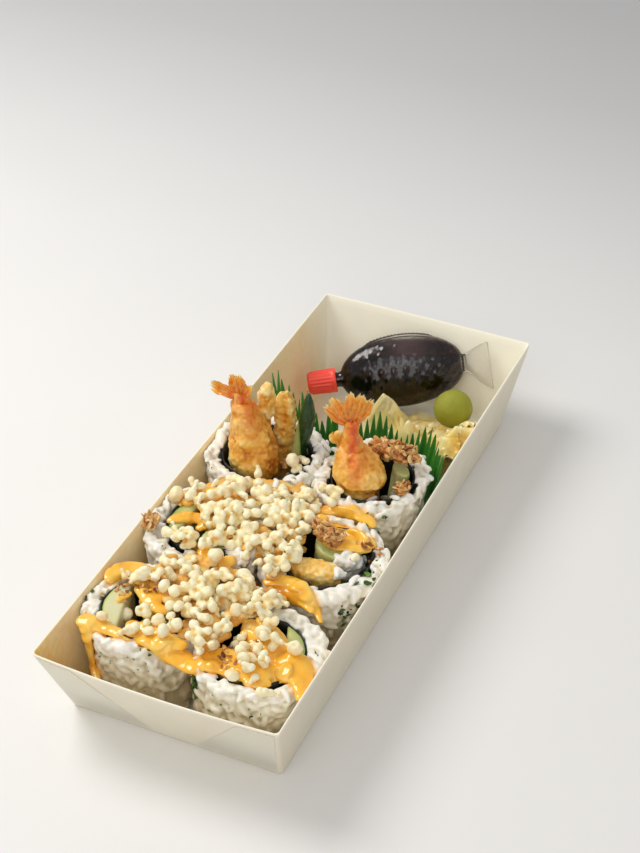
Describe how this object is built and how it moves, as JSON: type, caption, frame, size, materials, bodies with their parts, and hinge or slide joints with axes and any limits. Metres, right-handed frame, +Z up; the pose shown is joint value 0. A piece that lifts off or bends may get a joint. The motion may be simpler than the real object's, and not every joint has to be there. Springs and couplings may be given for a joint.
{
  "type": "takeaway sushi tray",
  "caption": "Long folded board tray of fried prawn rolls with crunch and sauce, pickled ginger, wasabi and a fish-shaped soy bottle.",
  "frame": {"origin": "centre of the tray's flat underside", "axes": "+Z up, +Y along the tray from the sauced rolls to the soy bottle, +X to the right seen from the sauced end"},
  "size_m": [0.096, 0.2576, 0.0733],
  "materials": {
    "board": "matt cream food board with a faint fibre",
    "rice": null,
    "seaweed": "toasted seaweed sheet, near black",
    "cucumber": "cut cucumber, wet, pale flesh and dark skin",
    "avocado": "soft ripe green flesh",
    "tempura": "golden fried batter, crisp and knobbly",
    "tail": "cooked prawn tail shell, orange red, shiny",
    "crunch": "pale fried batter drops with a sauce sheen",
    "flake": "brown fried flakes",
    "mayonnaise": "orange spiced mayonnaise, glossy",
    "leaf": "green divider leaf, smooth",
    "ginger": "pale yellow pickled ginger, wet and translucent",
    "wasabi": "matt green paste",
    "clear_plastic": null,
    "soy_sauce": "dark brown liquid",
    "red_plastic": "red screw cap, semi-gloss"
  },
  "bodies": {
    "root": {"avocado_front_left": "avocado", "avocado_front_right": "avocado", "avocado_middle_left": "avocado", "avocado_middle_right": "avocado", "batter_back_left": "tempura", "crunch_front": "crunch", "crunch_middle": "crunch", "cucumber_back_left": "cucumber", "cucumber_back_right": "cucumber", "cucumber_front_left": "cucumber", "cucumber_front_right": "cucumber", "cucumber_middle_left": "cucumber", "fried_flake_back_right": "flake", "fried_flake_middle_left": "flake", "fried_flake_middle_right": "flake", "fried_flakes_back_right": "flake", "ginger_slice_1": "ginger", "ginger_slice_2": "ginger", "ginger_slice_3": "ginger", "ginger_slice_4": "ginger", "leaf_left": "leaf", "leaf_right": "leaf", "mayonnaise_front_left": "mayonnaise", "mayonnaise_front_right": "mayonnaise", "mayonnaise_middle_left": "mayonnaise", "mayonnaise_middle_right": "mayonnaise", "prawn_back_left": "tempura", "prawn_back_right": "tempura", "prawn_front_left": "tempura", "prawn_front_right": "tempura", "prawn_middle_left": "tempura", "prawn_middle_right": "tempura", "prawn_tail_back_left": "tail", "prawn_tail_back_right": "tail", "rice_back_left": "rice", "rice_back_right": "rice", "rice_front_left": "rice", "rice_front_right": "rice", "rice_middle_left": "rice", "rice_middle_right": "rice", "seaweed_back_left": "seaweed", "seaweed_back_right": "seaweed", "seaweed_front_left": "seaweed", "seaweed_front_right": "seaweed", "seaweed_middle_left": "seaweed", "seaweed_middle_right": "seaweed", "soy_fish_bottle": "clear_plastic", "soy_fish_cap": "red_plastic", "soy_sauce": "soy_sauce", "tempura_back_left": "tempura", "tempura_back_right": "tempura", "tray": "board", "wasabi": "wasabi"}
  },
  "joints": []
}
